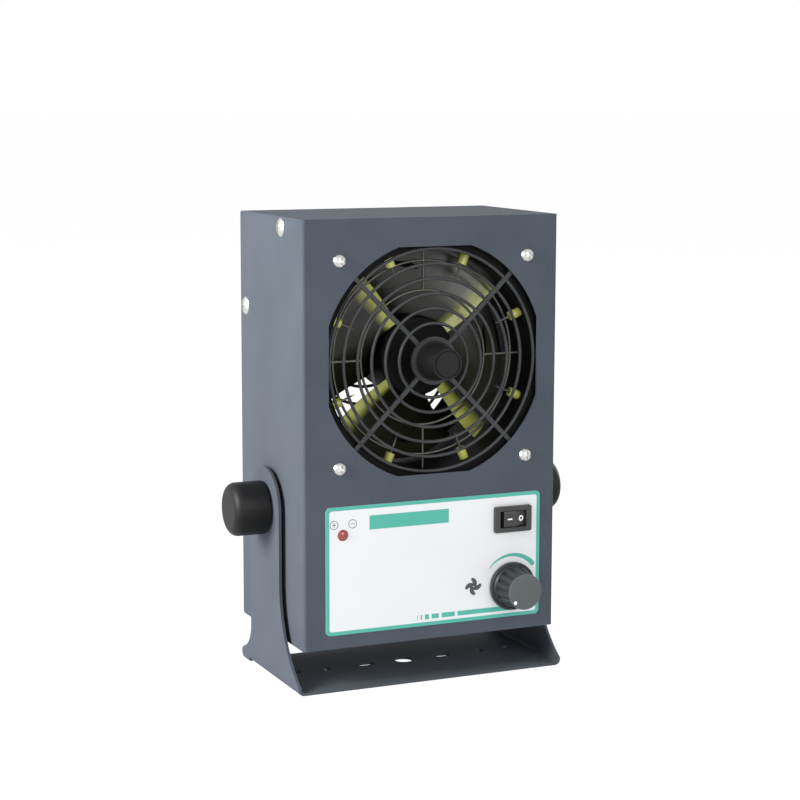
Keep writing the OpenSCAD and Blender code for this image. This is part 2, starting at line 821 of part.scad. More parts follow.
module blade() {
    top = [for (i = [0 : blade_s], j = [0 : blade_c]) blade_point(i / blade_s, j / blade_c, 0)];
    low = [for (i = [0 : blade_s], j = [0 : blade_c]) blade_point(i / blade_s, j / blade_c, blade_t)];
    n = blade_c + 1;
    m = (blade_s + 1) * n;
    faces_top = [for (i = [0 : blade_s - 1], j = [0 : blade_c - 1], h = [0, 1])
        h == 0 ? [i * n + j, (i + 1) * n + j, (i + 1) * n + j + 1]
               : [i * n + j, (i + 1) * n + j + 1, i * n + j + 1]];
    faces_low = [for (f = faces_top) [f[2] + m, f[1] + m, f[0] + m]];
    sides = [for (j = [0 : blade_c - 1], e = [0, 1]) let (p = e * blade_s * n + j)
        e == 0 ? [[p, p + 1, p + 1 + m], [p, p + 1 + m, p + m]]
               : [[p + 1, p, p + m], [p + 1, p + m, p + 1 + m]]];
    ends = [for (i = [0 : blade_s - 1], e = [0, 1]) let (p = i * n + e * blade_c)
        e == 0 ? [[p + n, p, p + m], [p + n, p + m, p + n + m]]
               : [[p, p + n, p + n + m], [p, p + n + m, p + m]]];
    faces = concat(faces_top, faces_low, [for (pair = sides, f = pair) f], [for (pair = ends, f = pair) f]);
    polyhedron(points = concat(top, low), faces = [for (f = faces) [f[2], f[1], f[0]]]);
}

module impeller() {
    color("olive") on_fan() {
        difference() {
            union() {
                difference() {
                    rod_y(0, cup_y, 0, cup_back - cup_y, hub_r);
                    rod_y(0, cup_y + cup_wall, 0, cup_back, hub_r - cup_wall);
                }
                rod_y(0, cup_y, 0, cup_wall + boss_len, shaft_r + 2);
            }
            rod_y(0, cup_y + 0.9, 0, boss_len + 3, shaft_r + fit);
        }
        for (i = [0 : blades - 1]) rotate([0, -blade_at - 360 / blades * i, 0]) blade();
    }
}

// ---- fasteners of the fan and the guards ----

module front_screws() {
    shank = fan_y + fan_lip + m4_nut_t + 1;
    color("silver") on_fan() at_corners() {
        rotate([90, 0, 0]) cross_head(screw_head_r, screw_head_t);
        rod_y(0, 0, 0, shank, front_m4);
    }
}

module front_nuts() {
    color("silver") on_fan() at_corners() translate([0, fan_y + fan_lip, 0]) rotate([-90, 0, 0])
        hex_nut(m4_nut_r, m4_nut_t, front_m4 + fit);
}

// Round wire guard outside the back opening.
module back_guard() {
    leg = head_d + back_wire;
    hoop = leg + 1.8 * back_wire;
    outer = back_opening_r - 3;
    color("silver") on_fan() {
        for (i = [0 : back_rings - 1])
            translate([0, hoop, 0]) rotate([90, 0, 0]) rotate_extrude()
                translate([outer - i * outer / (back_rings + 0.6), 0]) circle(back_wire, $fn = 24);
        for (a = [45, 135]) rotate([0, -a, 0])
            rod_x(-corner * sqrt(2) + front_m4 + 1.2, leg, 0,
                2 * (corner * sqrt(2) - front_m4 - 1.2), back_wire);
        at_corners() translate([0, leg, 0]) rotate([90, 0, 0]) rotate_extrude()
            translate([front_m4 + 0.2 + back_wire, 0]) circle(back_wire, $fn = 24);
    }
}

module back_screws() {
    seat = head_d + 2 * back_wire;
    shank = seat - head_d + sheet + m4_nut_t + 1;
    color("silver") on_fan() at_corners() {
        translate([0, seat, 0]) rotate([-90, 0, 0]) cross_head(screw_head_r, screw_head_t);
        rod_y(0, seat - shank, 0, shank, front_m4);
    }
}

module back_nuts() {
    color("silver") on_fan() at_corners() translate([0, head_d - sheet - m4_nut_t, 0])
        rotate([-90, 0, 0]) hex_nut(m4_nut_r, m4_nut_t, front_m4 + fit);
}

// ---- front controls ----

module control_label() {
    color("lightgray") in_head() difference() {
        along_y(panel_front, label_t) translate([label_x, label_z])
            soft_rect(label_w, label_h, 2.5);
        along_y(-1, 2) translate([switch_x, switch_z])
            square([switch_w - 2, switch_h - 1.2], center = true);
        rod_y(speed_x, -1, speed_z, 2, knob_pocket_r);
        rod_y(lamp_x, -1, lamp_z, 2, lamp_r + fit);
    }
}

// Snap-in switch housing with its bezel.
module switch_body() {
    body_w = switch_w - 2 - 2 * fit;
    body_h = switch_h - 1.2 - 2 * fit;
    color("black") in_head() difference() {
        union() {
            along_y(panel_front - bezel_t, bezel_t) translate([switch_x, switch_z])
                soft_rect(switch_w, switch_h, 1);
            along_y(panel_front, 16) translate([switch_x, switch_z])
                square([body_w, body_h], center = true);
        }
        along_y(panel_front - bezel_t - 1, 12) translate([switch_x, switch_z])
            square([rocker_w, rocker_h], center = true);
    }
}

module switch_tabs() {
    color("silver") in_head() for (side = [-1, 0, 1])
        translate([switch_x + side * 6 - 0.4, panel_front + 16, switch_z - 2.4])
            cube([0.8, 8, 4.8]);
}

// Two-lobed rocker that tips about an upright axis; its right end is pressed at rest.
module switch_rocker() {
    w = rocker_w - 2 * (clear + rocker_end);
    deep = 4.6;
    top = panel_front - bezel_t - rocker_pivot;
    color("black") in_head() translate([switch_x, rocker_pivot, switch_z - rocker_h / 2 + clear])
        rotate([0, 0, rocker_travel / 2]) linear_extrude(rocker_h - 2 * clear)
            difference() {
                polygon([[-w / 2, top - 0.9], [0, top + 0.3], [w / 2, top - 0.9],
                         [w / 2 - 1.2, 0], [2, deep], [-2, deep], [-w / 2 + 1.2, 0]]);
                circle(0.8);
            }
}

// Fluted knob with a wide skirt.
module speed_knob() {
    body_r = speed_face_r + 0.7;
    color("black") in_head() translate([speed_x, speed_back, speed_z]) rotate([90, 0, 0])
        difference() {
            union() {
                cylinder(h = 2, r = speed_skirt_r);
                translate([0, 0, 2]) cylinder(h = 1.2, r1 = speed_skirt_r - 0.6, r2 = body_r + 0.2);
                translate([0, 0, 3.2]) linear_extrude(speed_len - 4) difference() {
                    circle(body_r);
                    for (i = [0 : flutes - 1]) rotate(360 / flutes * i)
                        translate([body_r + 0.6, 0]) circle(1.3, $fn = 24);
                }
                translate([0, 0, speed_len - 0.8])
                    cylinder(h = 0.8, r1 = speed_face_r - 0.1, r2 = speed_face_r - 0.6);
            }
            translate([0, 0, -1]) cylinder(h = knob_pocket + 1, r = knob_pocket_r);
            translate([0, 0, -1]) cylinder(h = speed_len - 1, r = pot_shaft_r + fit);
        }
}

module potentiometer() {
    color("silver") in_head() difference() {
        union() {
            rod_y(speed_x, sheet, speed_z, pot_len, pot_r);
            rod_y(speed_x, sheet - bushing_out, speed_z, bushing_out, bushing_r);
            translate([speed_x - 7, sheet + 3, speed_z - pot_r - 5]) cube([14, 1, 7]);
        }
        rod_y(speed_x, sheet - bushing_out - 1, speed_z, bushing_out + pot_len - 1,
            pot_shaft_r + run);
    }
}

module potentiometer_nut() {
    color("silver") in_head() translate([speed_x, -pot_nut_t, speed_z]) rotate([-90, 0, 0])
        hex_nut(m4_nut_r + 2, pot_nut_t, bushing_r + fit);
}

module potentiometer_shaft() {
    front = speed_back - speed_len + 3;
    color("silver") in_head()
        rod_y(speed_x, front, speed_z, sheet + pot_len - 3 - front, pot_shaft_r);
}

// Round indicator lamp with a domed face.
module indicator_lamp() {
    proud = 1.2;
    color("darkred") in_head() {
        intersection() {
            rod_y(lamp_x, panel_front - proud, lamp_z, 8, lamp_r);
            translate([lamp_x, panel_front - proud + lamp_r * 1.3, lamp_z]) sphere(lamp_r * 1.3);
        }
        rod_y(lamp_x, sheet, lamp_z, 6, lamp_r);
        for (side = [-1, 1]) rod_y(lamp_x + side * 1.27, sheet + 6, lamp_z, 6, 0.3);
    }
}

// Spring clip that grips the lamp behind the panel.
module lamp_clip() {
    color("black") in_head() difference() {
        rod_y(lamp_x, sheet, lamp_z, 4, lamp_r + 1.4);
        rod_y(lamp_x, sheet - 1, lamp_z, 6, lamp_r + fit);
    }
}

// ---- back connections ----

// Inlet housing with its flange outside the back panel and an open socket.
module mains_inlet() {
    back = head_d;
    color("black") in_head() translate([inlet_x, 0, inlet_z]) difference() {
        union() {
            along_y(back, 3) soft_rect(inlet_pitch + 9, inlet_h + 3, 4);
            along_y(back - inlet_depth, inlet_depth) square([inlet_w, inlet_h], center = true);
        }
        along_y(back - inlet_depth + 4, inlet_depth) polygon([[-inlet_w / 2 + 2, inlet_h / 2 - 2],
            [inlet_w / 2 - 2, inlet_h / 2 - 2], [inlet_w / 2 - 2, -inlet_h / 2 + 5],
            [inlet_w / 2 - 5, -inlet_h / 2 + 2], [-inlet_w / 2 + 5, -inlet_h / 2 + 2],
            [-inlet_w / 2 + 2, -inlet_h / 2 + 5]]);
        for (side = [-1, 1]) rod_y(side * inlet_pitch / 2, back - 1, 0, 5, 1.65);
        for (pin = inlet_pin_places())
            translate([pin[0] - 1.05, back - inlet_depth - 1, pin[1] - 2.05]) cube([2.1, 6, 4.1]);
    }
}

function inlet_pin_places() = [[-7, -1.5], [0, 1.5], [7, -1.5]];

module inlet_pins() {
    color("silver") in_head() translate([inlet_x, 0, inlet_z]) for (pin = inlet_pin_places())
        translate([pin[0] - 1, head_d - inlet_depth - 6, pin[1] - 2])
            cube([2, inlet_depth + 2, 4]);
}

module inlet_screws() {
    color("silver") in_head() translate([inlet_x, 0, inlet_z]) for (side = [-1, 1])
        translate([side * inlet_pitch / 2, 0, 0]) {
            translate([0, head_d + 3, 0]) rotate([-90, 0, 0]) cross_head(2.8, 1.8);
            rod_y(0, head_d - sheet - 2.4, 0, sheet + 5.4, 1.5);
            translate([0, head_d - sheet - 2.4, 0]) rotate([-90, 0, 0])
                hex_nut(3.2, 2.4, 1.45);
        }
}

// Ground stud with a nut inside, a washer and a knurled nut outside.
module ground_terminal() {
    color("gold") in_head() {
        rod_y(ground_x, head_d - sheet - 8, ground_z, sheet + 22, front_m4);
        translate([ground_x, head_d - sheet - 3, ground_z]) rotate([-90, 0, 0])
            cylinder(h = 3, r = m4_nut_r, $fn = 6);
        rod_y(ground_x, head_d, ground_z, 1, 5);
        rod_y(ground_x, head_d + 1, ground_z, 5, 4.6);
    }
}

// ---- electronics ----

function board_holes() = [for (sx = [-1, 1], sy = [-1, 1])
    [board_x + sx * (board_w / 2 - board_edge), board_y + sy * (board_d / 2 - board_edge)]];

module circuit_board() {
    color("darkgreen") in_head() difference() {
        translate([board_x, board_y, board_z]) linear_extrude(board_t)
            soft_rect(board_w, board_d, 1.5);
        for (place = board_holes()) translate([place[0], place[1], board_z - 1])
            cylinder(h = board_t + 2, r = 1.65);
    }
}

module board_standoffs() {
    color("gold") in_head() for (place = board_holes()) translate([place[0], place[1], sheet])
        difference() {
            cylinder(h = standoff, r = 3, $fn = 6);
            translate([0, 0, -1]) cylinder(h = standoff + 2, r = 1.5 + fit);
        }
}

module board_screws() {
    color("silver") in_head() for (place = board_holes()) translate([place[0], place[1], 0]) {
        translate([0, 0, board_z + board_t]) cross_head(2.8, 1.8);
        translate([0, 0, board_z + board_t - 4]) cylinder(h = 4, r = 1.5);
        cylinder(h = sheet + 2, r = 1.5);
        rotate([180, 0, 0]) cross_head(2.8, 1.2);
    }
}

// Capacitors, heat sink, terminal block and chips on the board.
module board_components() {
    top = board_z + board_t;
    color("dimgray") in_head() translate([board_x, board_y, top]) {
        for (side = [-1, 1]) translate([side * capacitor_pitch / 2, capacitor_y, 0])
            cylinder(h = capacitor_h, r = capacitor_r);
        for (block = board_blocks) translate([block[0], block[1], 0])
            cube([block[2], block[3], block[4]]);
    }
}

module mains_transformer() {
    top = board_z + board_t;
    flange_w = core_w - 6;
    color("gold") in_head() translate([board_x + core_x, board_y, top]) {
        translate([-core_w / 2, -core_d / 2, 0]) cube([core_w, core_d, core_h]);
        translate([-flange_w / 2, -core_d / 2 - coil_flange, core_foot])
            cube([flange_w, core_d + 2 * coil_flange, core_h - 2 * core_foot]);
    }
}

// Potted block that makes the high voltage, with a screw tab at each end.
module voltage_module() {
    color("darkslategray") in_head() difference() {
        union() {
            translate([module_x, module_y, sheet]) linear_extrude(module_h)
                soft_rect(module_w, module_d, 2);
            translate([module_x, module_y, sheet]) linear_extrude(2.5)
                soft_rect(10, module_d + 14, 3);
        }
        for (side = [-1, 1]) translate([module_x, module_y + side * (module_d / 2 + 3.5), 0])
            cylinder(h = 5, r = 1.65);
    }
}

module module_screws() {
    color("silver") in_head() for (side = [-1, 1])
        translate([module_x, module_y + side * (module_d / 2 + 3.5), 0]) {
            translate([0, 0, sheet + 2.5]) hex_nut(3.2, 2.4, 1.45);
            cylinder(h = sheet + 5.4, r = 1.5);
            rotate([180, 0, 0]) cross_head(2.8, 1.2);
        }
}

// A quarter bend of a lead in the Y-Z plane, from the origin up and then towards -Y.
module lead_bend(bend) {
    translate([0, -bend, 0]) rotate([0, 0, 90]) rotate([90, 0, 0])
        rotate_extrude(angle = 90) translate([bend, 0]) circle(lead_r, $fn = 24);
}

// Insulated lead from the high-voltage module up to the emitter ring.
module voltage_lead() {
    bend = 8;
    x = fan_x + 22;
    start = sheet + module_h;
    finish = fan_z - fan_size / 2;
    level = start + (finish - start) / 2;
    back = module_y - 6;
    front = ring_y + ring_t / 2;
    color("firebrick") in_head() translate([x, 0, 0]) {
        translate([0, back, start]) cylinder(h = level - bend - start, r = lead_r);
        translate([0, back, level - bend]) lead_bend(bend);
        rod_y(0, front + bend, level, back - front - 2 * bend, lead_r);
        translate([0, front, level + bend]) mirror([0, 1, 0]) mirror([0, 0, 1]) lead_bend(bend);
        translate([0, front, level + bend]) cylinder(h = finish - level - bend, r = lead_r);
    }
}

// Two insulated leads from the inlet's pins down to the board.
module supply_leads() {
    y = head_d - inlet_depth - 4;
    top = board_z + board_t;
    color("saddlebrown") in_head() for (side = [-1, 1])
        translate([inlet_x + side * 7, y, top])
            cylinder(h = inlet_z - 1.5 - 2 - top, r = 1.1);
}

stand_bracket();
front_shell();
wrap_cover();
front_guard();
emitter_ring();
needle_holders();
emitter_needles();
reference_electrode();
fan_frame();
fan_stator();
fan_bearings();
impeller();
rotor_magnet();
fan_shaft();
brush_knob();
brush_shaft();
brush_arm();
brush_bristles();
front_screws();
front_nuts();
back_guard();
back_screws();
back_nuts();
side_screws();
clinch_nuts();
control_label();
switch_body();
switch_tabs();
switch_rocker();
speed_knob();
potentiometer();
potentiometer_nut();
potentiometer_shaft();
indicator_lamp();
lamp_clip();
pivot_inserts();
friction_washers();
washer_left();
washer_right();
clamp_knob_left();
clamp_knob_right();
stud_left();
stud_right();
mains_inlet();
inlet_pins();
inlet_screws();
ground_terminal();
circuit_board();
board_standoffs();
board_screws();
board_components();
mains_transformer();
voltage_module();
module_screws();
voltage_lead();
supply_leads();
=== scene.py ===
"""Looks of a benchtop ionizing blower: finishes, printed panel, knobs, rocker, fan and brush.

Metres, in the frame of the construction: X to the right, Y to the back, Z up.
"""
import json
import math

import bmesh
import bpy
import numpy as np
from mathutils import Matrix, Vector


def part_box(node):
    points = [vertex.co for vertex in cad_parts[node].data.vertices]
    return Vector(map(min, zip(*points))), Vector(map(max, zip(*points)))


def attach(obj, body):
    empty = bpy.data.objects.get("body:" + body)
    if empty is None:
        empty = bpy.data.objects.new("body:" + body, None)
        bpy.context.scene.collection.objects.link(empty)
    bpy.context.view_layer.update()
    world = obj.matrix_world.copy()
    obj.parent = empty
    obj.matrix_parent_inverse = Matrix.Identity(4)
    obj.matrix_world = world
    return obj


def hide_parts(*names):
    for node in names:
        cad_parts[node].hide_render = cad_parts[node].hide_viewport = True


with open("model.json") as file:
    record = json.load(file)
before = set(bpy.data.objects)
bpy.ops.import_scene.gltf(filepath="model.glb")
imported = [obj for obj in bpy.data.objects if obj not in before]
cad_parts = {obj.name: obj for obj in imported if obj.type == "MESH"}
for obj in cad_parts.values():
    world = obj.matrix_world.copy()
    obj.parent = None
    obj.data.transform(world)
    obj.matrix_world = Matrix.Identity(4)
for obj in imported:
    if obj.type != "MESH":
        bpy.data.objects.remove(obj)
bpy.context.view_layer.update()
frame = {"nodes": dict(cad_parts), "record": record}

MM = 0.001
TURN = 2 * math.pi
RIGHT_ANGLE = TURN / 4


def middle(node):
    """The middle of a node's box."""
    low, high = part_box(node)
    return (low + high) / 2


# ---- places and sizes, from the frame ----

HEAD_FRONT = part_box("front_shell")[0].y
LABEL_LOW, LABEL_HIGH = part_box("control_label")
PRINT_T = 0.05 * MM
PRINT_FRONT = LABEL_LOW.y - PRINT_T
FAN_LOW, FAN_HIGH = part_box("impeller")
FAN_X = (FAN_LOW.x + FAN_HIGH.x) / 2
FAN_Z = (FAN_LOW.z + FAN_HIGH.z) / 2
HUB_R = 21 * MM
CUP_WALL = 1.5 * MM
BLADE_COUNT = 4
BLADE_R = (FAN_HIGH.x - FAN_LOW.x) / 2
BLADE_START = math.radians(40)
BLADE_SWEEP = math.radians(80)
LAND_DROP = 2.2 * MM
BRUSH_ANGLE = math.radians(315)
DIAL_LOW, DIAL_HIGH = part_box("speed_knob")
DIAL_MIDDLE = middle("speed_knob")
ROCKER_LOW, ROCKER_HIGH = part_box("switch_rocker")
ROCKER_MIDDLE = middle("switch_rocker")
ROCKER_W = 13.8 * MM
ROCKER_TILT = math.radians(8)
ROCKER_PIVOT_Y = HEAD_FRONT + 3 * MM


# ---- surfaces ----

def grid(points, wrap_u=False, wrap_v=False):
    """Joins an array of points, of shape (u, v, 3), with quads between neighbours.

    A wrapped direction also joins its last row to its first.
    """
    rows, columns = points.shape[:2]
    index = np.arange(rows * columns).reshape(rows, columns)
    if wrap_u:
        index = np.vstack([index, index[:1]])
    if wrap_v:
        index = np.hstack([index, index[:, :1]])
    quads = np.stack([index[:-1, :-1], index[1:, :-1], index[1:, 1:], index[:-1, 1:]], -1)
    return points.reshape(-1, 3), quads.reshape(-1, 4).tolist()


def tube(points):
    """A closed tube through rings of points, of shape (rings, around, 3), with flat ends."""
    vertices, faces = grid(points, wrap_v=True)
    rings, around = points.shape[:2]
    first = list(range(around))
    last = [index + (rings - 1) * around for index in reversed(first)]
    return vertices, faces + [first, last]


def lathe(radius, along, centre, steps=96):
    """Turns a profile round the Y line through centre.

    A point at angle a is centre + (radius cos a, along, radius sin a).
    """
    angle = np.linspace(0, TURN, steps, endpoint=False)
    radius, along = np.asarray(radius, float)[:, None], np.asarray(along, float)[:, None]
    points = np.stack([radius * np.cos(angle), along + 0 * angle, radius * np.sin(angle)], -1)
    return grid(points + np.asarray(centre, float), wrap_v=True)


def four_edges(left, right, back, front):
    """Two outlines of X and Z, each at two depths, as the four edges of a flat strip."""
    edges = [(left, back), (left, front), (right, front), (right, back)]
    return np.stack([np.stack([edge[:, 0], np.full(len(edge), y), edge[:, 1]], -1)
                     for edge, y in edges])


def band(outer, inner, back, front):
    """A flat closed band between two outlines of X and Z, from depth back to depth front."""
    return grid(four_edges(outer, inner, back, front), wrap_u=True, wrap_v=True)


def stroke(left, right, back, front):
    """A flat strip between two open edges of X and Z, with its two ends closed."""
    vertices, faces = grid(four_edges(left, right, back, front), wrap_u=True)
    count = len(left)
    first = [0, count, 2 * count, 3 * count]
    last = [row + count - 1 for row in reversed(first)]
    return vertices, faces + [first, last]


def disc(centre_x, centre_z, radius, back, front, steps=40):
    """A flat round plate: a lathe of a short profile that starts and ends on its axis."""
    return lathe([0, radius, radius, 0], [back, back, front, front], (centre_x, 0, centre_z), steps)


def bar(x, z, width, height, back, front):
    """A flat upright rectangle with its lower left corner at x and z."""
    left = np.array([[x, z], [x, z + height]])
    return stroke(left, left + [width, 0], back, front)


def ring(centre_x, centre_z, radius, width, back, front, steps=40):
    """A flat round band about a centre."""
    angle = np.linspace(0, TURN, steps, endpoint=False)
    circle = np.stack([np.cos(angle), np.sin(angle)], -1)
    centre = np.array([centre_x, centre_z])
    return band(centre + radius * circle, centre + (radius - width) * circle, back, front)


def round_rect(width, height, radius, steps=12):
    """The outline of a rectangle with round corners, about the origin.

    Each quarter turn of angles is added to its own corner's centre.
    """
    corner = np.repeat(np.arange(4), steps)
    angle = (corner + np.tile(np.linspace(0, 1, steps), 4)) * RIGHT_ANGLE
    sign_x = np.where((corner == 0) | (corner == 3), 1, -1)
    sign_z = np.where(corner < 2, 1, -1)
    return np.stack([sign_x * (width / 2 - radius) + radius * np.cos(angle),
                     sign_z * (height / 2 - radius) + radius * np.sin(angle)], -1)


def piece(name, parts, material, body, replaced=(), smooth=35):
    """Makes one object of several closed surfaces, sets it on its body and gives its finish."""
    vertices, faces, start = [], [], 0
    for points, quads in parts:
        vertices.append(points)
        faces += [[corner + start for corner in face] for face in quads]
        start += len(points)
    mesh = bpy.data.meshes.new(name)
    mesh.from_pydata(np.concatenate(vertices).tolist(), [], faces)
    shape = bmesh.new()
    shape.from_mesh(mesh)
    bmesh.ops.remove_doubles(shape, verts=shape.verts, dist=1e-7)
    bmesh.ops.dissolve_degenerate(shape, edges=shape.edges, dist=1e-8)
    bmesh.ops.recalc_face_normals(shape, faces=shape.faces)
    shape.to_mesh(mesh)
    shape.free()
    mesh.shade_smooth()
    mesh.set_sharp_from_angle(angle=math.radians(smooth))
    made = bpy.data.objects.new(name, mesh)
    bpy.context.scene.collection.objects.link(made)
    mesh.materials.append(material)
    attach(made, body)
    if replaced:
        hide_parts(*replaced)
    return made


# ---- shader maths ----

class Value:
    """A shader socket that Python's operators work on."""

    def __init__(self, nodes, socket):
        self.nodes = nodes
        self.socket = socket

    def _math(self, operation, first, second):
        return self.nodes.node("ShaderNodeMath", {"operation": operation}, {0: first, 1: second})

    def __add__(self, other):
        return self._math("ADD", self, other)

    def __radd__(self, other):
        return self._math("ADD", other, self)

    def __mul__(self, other):
        return self._math("MULTIPLY", self, other)

    def __rmul__(self, other):
        return self._math("MULTIPLY", other, self)


def linear(red, green, blue):
    """A colour given as 0 to 255 screen values, as the renderer's linear numbers."""
    share = np.array([red, green, blue]) / 255
    light = np.where(share <= 0.04045, share / 12.92, ((share + 0.055) / 1.055) ** 2.4)
    return (*light.tolist(), 1.0)


class Nodes:
    """A node tree and the one way to add to it."""

    def __init__(self, tree):
        self.tree = tree

    def fill(self, socket, value):
        """Sets a socket to a number or a colour, or links a value to it."""
        if isinstance(value, Value):
            self.tree.links.new(value.socket, socket)
        else:
            socket.default_value = value

    def node(self, kind, settings, inputs, output=0):
        """Adds a node, sets it up, fills its inputs with values or links, and returns an output."""
        made = self.tree.nodes.new(kind)
        for name, value in settings.items():
            setattr(made, name, value)
        for name, value in inputs.items():
            self.fill(made.inputs[name], value)
        return Value(self, made.outputs[output])


class Finish(Nodes):
    """One material: its node tree, its object coordinates and its surface shader."""

    def __init__(self, name, **fixed):
        self.material = bpy.data.materials.new(name)
        self.material.use_nodes = True
        super().__init__(self.material.node_tree)
        self.surface = self.tree.nodes["Principled BSDF"]
        self.place = self.node("ShaderNodeTexCoord", {}, {}, "Object")
        for socket, value in fixed.items():
            self.feed(socket.replace("_", " "), value)

    def stretched(self, scale):
        """Object coordinates, scaled along each axis."""
        return self.node("ShaderNodeMapping", {}, {"Vector": self.place, "Scale": scale})

    def depth(self):
        """Object Y, which grows from the front to the back."""
        return self.node("ShaderNodeSeparateXYZ", {}, {0: self.place}, 1)

    def noise(self, scale, detail=3.0, rough=0.5, place=None):
        """Cloudy values about one half, at scale features per metre."""
        return self.node("ShaderNodeTexNoise", {}, {
            "Vector": place or self.place, "Scale": scale, "Detail": detail, "Roughness": rough})

    def cells(self, scale):
        """Distance to the nearest of scattered points, at scale points per metre."""
        return self.node("ShaderNodeTexVoronoi", {}, {"Vector": self.place, "Scale": scale})

    def mask(self, value, low, high):
        """0 below low, 1 above high and a straight ramp between."""
        return self.node("ShaderNodeMapRange", {}, {
            "Value": value, "From Min": low, "From Max": high})

    def blend(self, share, first, second):
        """A colour between two, by a share from 0 to 1."""
        return self.node("ShaderNodeMix", {"data_type": "RGBA"}, {0: share, 6: first, 7: second}, 2)

    def feed(self, socket, value):
        """Sets or links one of the surface shader's sockets."""
        self.fill(self.surface.inputs[socket], value)

    def bump(self, height, depth, strength=1.0):
        """Raises the surface by height times depth, in metres."""
        self.feed("Normal", self.node("ShaderNodeBump", {}, {
            "Height": height, "Distance": depth, "Strength": strength}))
        return self.material


# ---- finishes ----

def powder_coat():
    """Fine-textured slate-grey powder coat: a tight orange peel with faint clouding."""
    finish = Finish("slate_powder_coat", Specular_IOR_Level=0.04)
    cloud = finish.noise(28, 4)
    grain = finish.noise(1500, 2)
    finish.feed("Base Color", finish.blend(
        finish.mask(cloud * 0.6 + grain * 0.4, 0.35, 0.65), linear(67, 72, 80), linear(74, 79, 87)))
    finish.feed("Roughness", 0.5 + 0.12 * grain + 0.05 * cloud)
    return finish.bump(grain + 0.6 * finish.noise(3200, 1), 0.05 * MM, 0.5)


def satin_plastic(name, dark, light, rough, grain_scale=1200, grain_mm=0.03, gloss=0.5):
    """Moulded plastic with a spark-eroded grain and slightly uneven gloss."""
    finish = Finish(name, Specular_IOR_Level=gloss)
    cloud = finish.noise(60, 3)
    grain = finish.noise(grain_scale, 2)
    finish.feed("Base Color", finish.blend(finish.mask(cloud, 0.35, 0.65), linear(*dark), linear(*light)))
    finish.feed("Roughness", rough - 0.06 + 0.12 * grain)
    return finish.bump(grain, grain_mm * MM, 0.6)


def plated_steel(name, tone, rough, brush=(1, 1, 1)):
    """Plated metal: a faint brushed streak in gloss and a few darker specks."""
    finish = Finish(name, Metallic=1.0)
    streak = finish.noise(700, 3, 0.6, finish.stretched(brush))
    speck = finish.mask(finish.cells(420), 0.0, 0.25)
    shade = tuple(0.82 * part for part in tone)
    finish.feed("Base Color", finish.blend(
        speck * 0.25 + 0.75 * finish.mask(streak, 0.3, 0.6), linear(*shade), linear(*tone)))
    finish.feed("Roughness", rough - 0.05 + 0.14 * streak)
    return finish.bump(streak, 0.01 * MM, 0.5)


def olive_plastic():
    """Olive moulding with soft streaks and a glossy skin; behind its front land the colour fades to near
    black as painted shade of the fan duct.
    """
    finish = Finish("olive_moulding", IOR=1.5, Coat_Roughness=0.2)
    flow = finish.noise(45, 3)
    # painted shade: past the front land the olive fades with depth to near black, standing in for the
    # shade inside the fan
    painted_shade_depth = finish.mask(finish.depth(), FAN_LOW.y + LAND_DROP, FAN_LOW.y + 2.5 * LAND_DROP)
    clear = finish.blend(finish.mask(flow, 0.35, 0.65), linear(152, 156, 60), linear(186, 190, 96))
    # blends the real olive into the painted shade colour as the blade goes back
    finish.feed("Base Color", finish.blend(painted_shade_depth, clear, linear(24, 25, 13)))
    finish.feed("Roughness", 0.28 + 0.12 * flow)
    finish.feed("Coat Weight", 0.3 + 0.3 * flow)
    return finish.bump(finish.noise(400, 2), 0.02 * MM, 0.5)


def dial_plastic():
    """Moulded dial: its turned front face is paler than the fluted grip behind it."""
    finish = Finish("dial_plastic", Specular_IOR_Level=0.4)
    grain = finish.noise(1500, 2)
    grip = finish.mask(finish.depth(), DIAL_LOW.y + 0.3 * MM, DIAL_LOW.y + 0.9 * MM)
    finish.feed("Base Color", finish.blend(grip, linear(72, 77, 78), linear(34, 35, 36)))
    finish.feed("Roughness", 0.4 + 0.08 * grain)
    return finish.bump(grain, 0.04 * MM, 0.5)


def printed_film(name, tone, rough=0.42):
    """Screen-printed polyester film: a fine matt grain under an even colour."""
    finish = Finish(name, IOR=1.46)
    grain = finish.noise(2200, 2)
    cloud = finish.noise(18, 2)
    shade = tuple(0.965 * part for part in tone)
    uneven = 0.5 * finish.mask(grain, 0.3, 0.7) + 0.5 * finish.mask(cloud, 0.3, 0.7)
    finish.feed("Base Color", finish.blend(uneven, linear(*shade), linear(*tone)))
    finish.feed("Roughness", rough + 0.1 * grain)
    return finish.bump(grain, 0.008 * MM, 0.5)


def lens_red():
    """Dark red lens with a faint grain and a glossy skin."""
    finish = Finish("lamp_lens", IOR=1.5, Coat_Roughness=0.05)
    grain = finish.noise(900, 2)
    finish.feed("Base Color", finish.blend(
        finish.mask(grain, 0.3, 0.7), linear(112, 34, 34), linear(138, 52, 48)))
    finish.feed("Roughness", 0.22 + 0.1 * grain)
    finish.feed("Coat Weight", 0.5 + 0.2 * grain)
    return finish.bump(finish.cells(1400), 0.02 * MM, 0.4)


def solder_mask():
    """Green laminate: copper runs show through the mask as a lighter grid of lines."""
    finish = Finish("board_laminate", IOR=1.5)
    run = finish.node("ShaderNodeTexBrick", {"offset": 0.35}, {
        "Vector": finish.place, "Scale": 260.0, "Mortar Size": 0.06}, 1)
    finish.feed("Base Color", finish.blend(run, linear(16, 84, 44), linear(38, 128, 66)))
    finish.feed("Roughness", 0.3 + 0.15 * finish.noise(300))
    return finish.bump(run, 0.03 * MM, 0.5)


def copper_winding():
    """Varnished copper wire: fine turns as a wave along the depth, amber over copper."""
    finish = Finish("varnished_winding", Metallic=0.8)
    turns = finish.node("ShaderNodeTexWave", {"bands_direction": "Y"}, {
        "Vector": finish.place, "Scale": 420.0, "Distortion": 0.4})
    finish.feed("Base Color", finish.blend(turns, linear(104, 52, 22), linear(196, 116, 58)))
    finish.feed("Roughness", 0.3 + 0.2 * turns)
    return finish.bump(turns, 0.1 * MM, 0.7)


